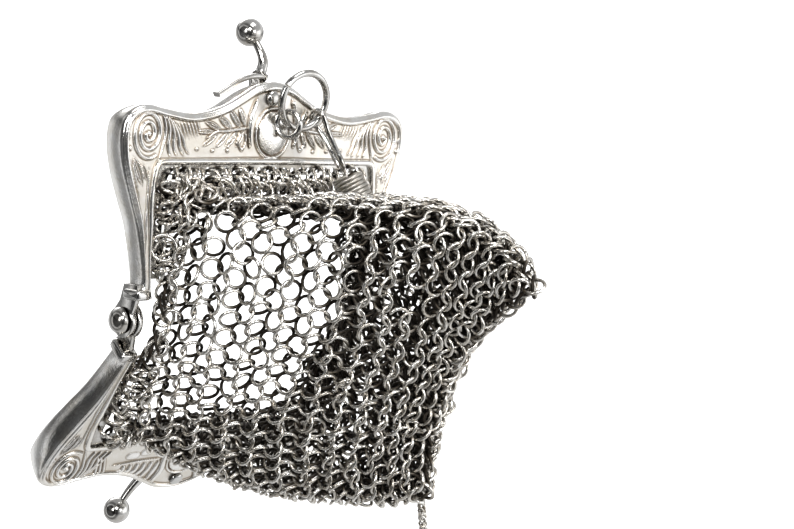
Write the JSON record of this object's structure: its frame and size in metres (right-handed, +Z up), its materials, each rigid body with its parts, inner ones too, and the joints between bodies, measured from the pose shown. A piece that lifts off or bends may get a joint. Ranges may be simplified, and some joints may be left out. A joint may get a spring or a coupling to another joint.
{
  "type": "metal mesh purse",
  "caption": "Small coin purse of linked ring mesh, held open on a cast two-part frame with ball clasps and a rope chain.",
  "frame": {"origin": "middle of the hinge axis, between the two hinge rivets", "axes": "+X along the hinge axis to the far rivet, -Y into the bag, +Z up towards the upper half's crest"},
  "size_m": [0.051, 0.0607, 0.081],
  "materials": {
    "frame_metal": "aged silver, tan tarnish in the hollows",
    "polished_metal": "worn bright",
    "ring_metal": "aged, dark between the rings"
  },
  "bodies": {
    "root": {"frame_upper": "frame_metal", "frame_lower": "frame_metal", "clasp_upper": "polished_metal", "clasp_lower": "polished_metal", "hinge_rivet_far": "polished_metal", "hinge_rivet_near": "polished_metal", "jump_ring": "polished_metal", "chain_eye": "polished_metal", "chain_collar": "ring_metal", "chain": "ring_metal", "mesh_bag": "ring_metal"}
  },
  "joints": []
}
